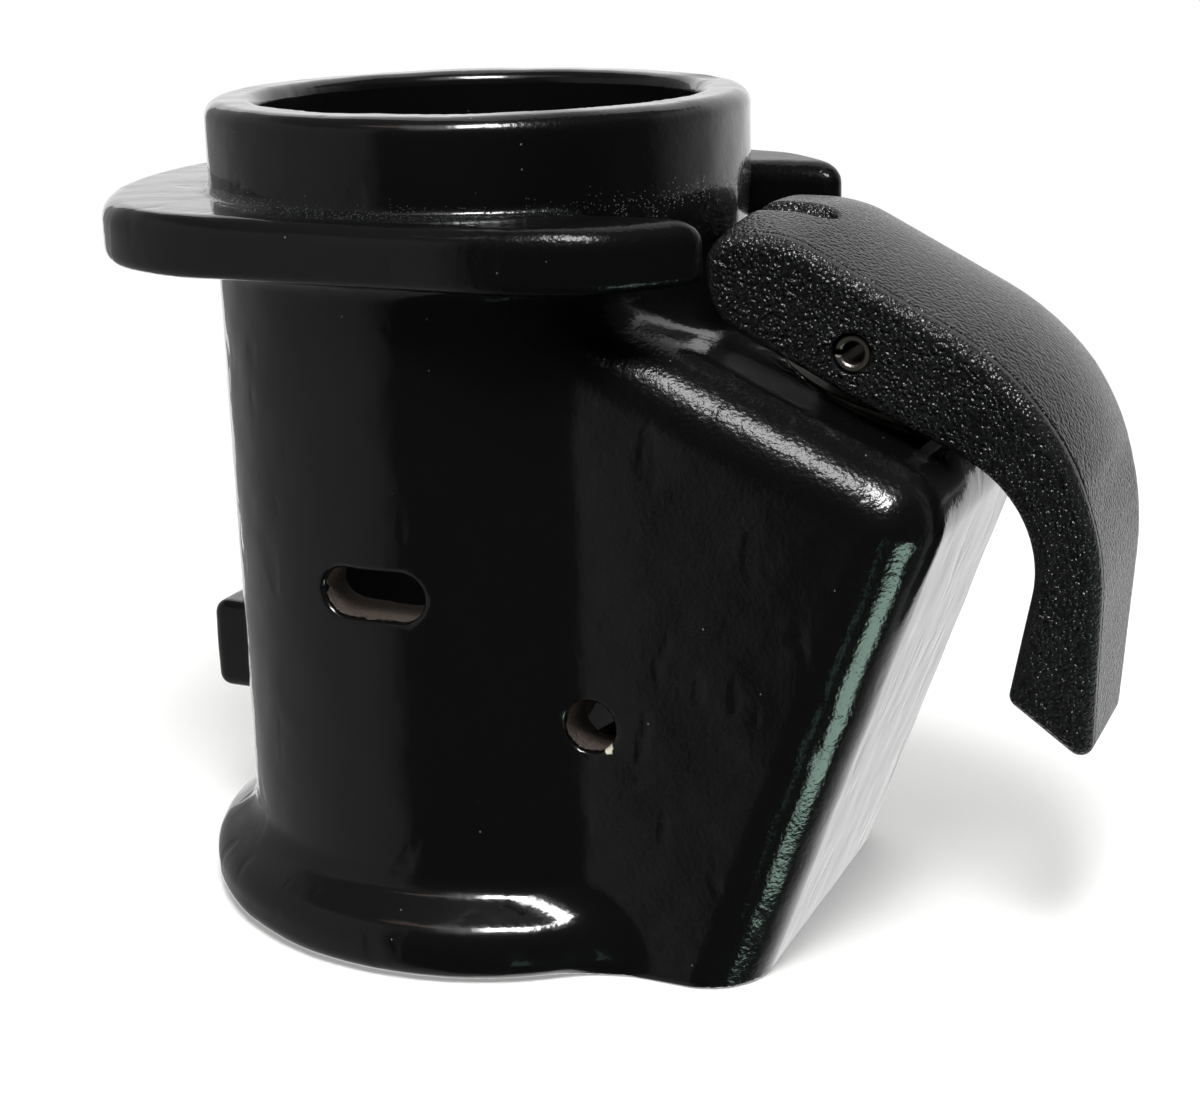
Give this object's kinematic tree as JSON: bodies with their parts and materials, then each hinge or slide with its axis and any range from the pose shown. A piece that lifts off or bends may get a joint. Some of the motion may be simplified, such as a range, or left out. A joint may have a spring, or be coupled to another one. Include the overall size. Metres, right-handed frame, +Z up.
{
  "type": "gooseneck coupler",
  "caption": "Cast gooseneck trailer coupler: ball socket with bell lip, pilot ring and slotted flange, sloping housing with a spring-loaded lock block, drawn up by a pinned cam lever.",
  "frame": {"origin": "under the middle of the whole coupler, on the level of the bell lip's bottom face", "axes": "+X from the ball socket towards the lever, +Y across the coupler, +Z up along the socket's axis, out of the pilot ring"},
  "size_m": [0.1934, 0.1172, 0.1551],
  "materials": {
    "black_enamel": "glossy black enamel over a lumpy sand casting",
    "black_nylon": "moulded black nylon with a leather grain",
    "plain_steel": "bare steel, lightly oiled",
    "zinc_steel": "zinc plated steel",
    "spring_steel": "dark oil-tempered wire",
    "natural_nylon": "natural nylon",
    "soft_rubber": "moulded rubber"
  },
  "bodies": {
    "casting": {"body_casting": "black_enamel", "grease_plug": "zinc_steel", "stem_bush": "natural_nylon", "stem_wiper": "soft_rubber", "cam_washer": "zinc_steel", "spring_washer": "zinc_steel"},
    "plunger": {"lock_stem": "zinc_steel", "lock_block": "plain_steel", "stem_washer": "zinc_steel", "stem_nut": "zinc_steel", "lock_spring": "spring_steel"},
    "lever": {"release_lever": "black_nylon", "lever_pin": "plain_steel"}
  },
  "joints": [
    {"name": "lock_slide", "type": "slide", "parent": "casting", "child": "plunger", "axis": [0.3305, 0, 0.9438], "range_m": [0, 0.0215], "stiffness_N_per_m": 2000, "springref_m": -0.005, "deforming": ["lock_spring"]},
    {"name": "lever_hinge", "type": "hinge", "parent": "plunger", "child": "lever", "pos_m": [0.05403, 0, 0.11479], "axis": [0, -1, 0], "range_deg": [0, 85]}
  ],
  "couplings": [
    {"joint": "lever_hinge", "follows": "lock_slide", "rad_per_m": 69.001}
  ]
}
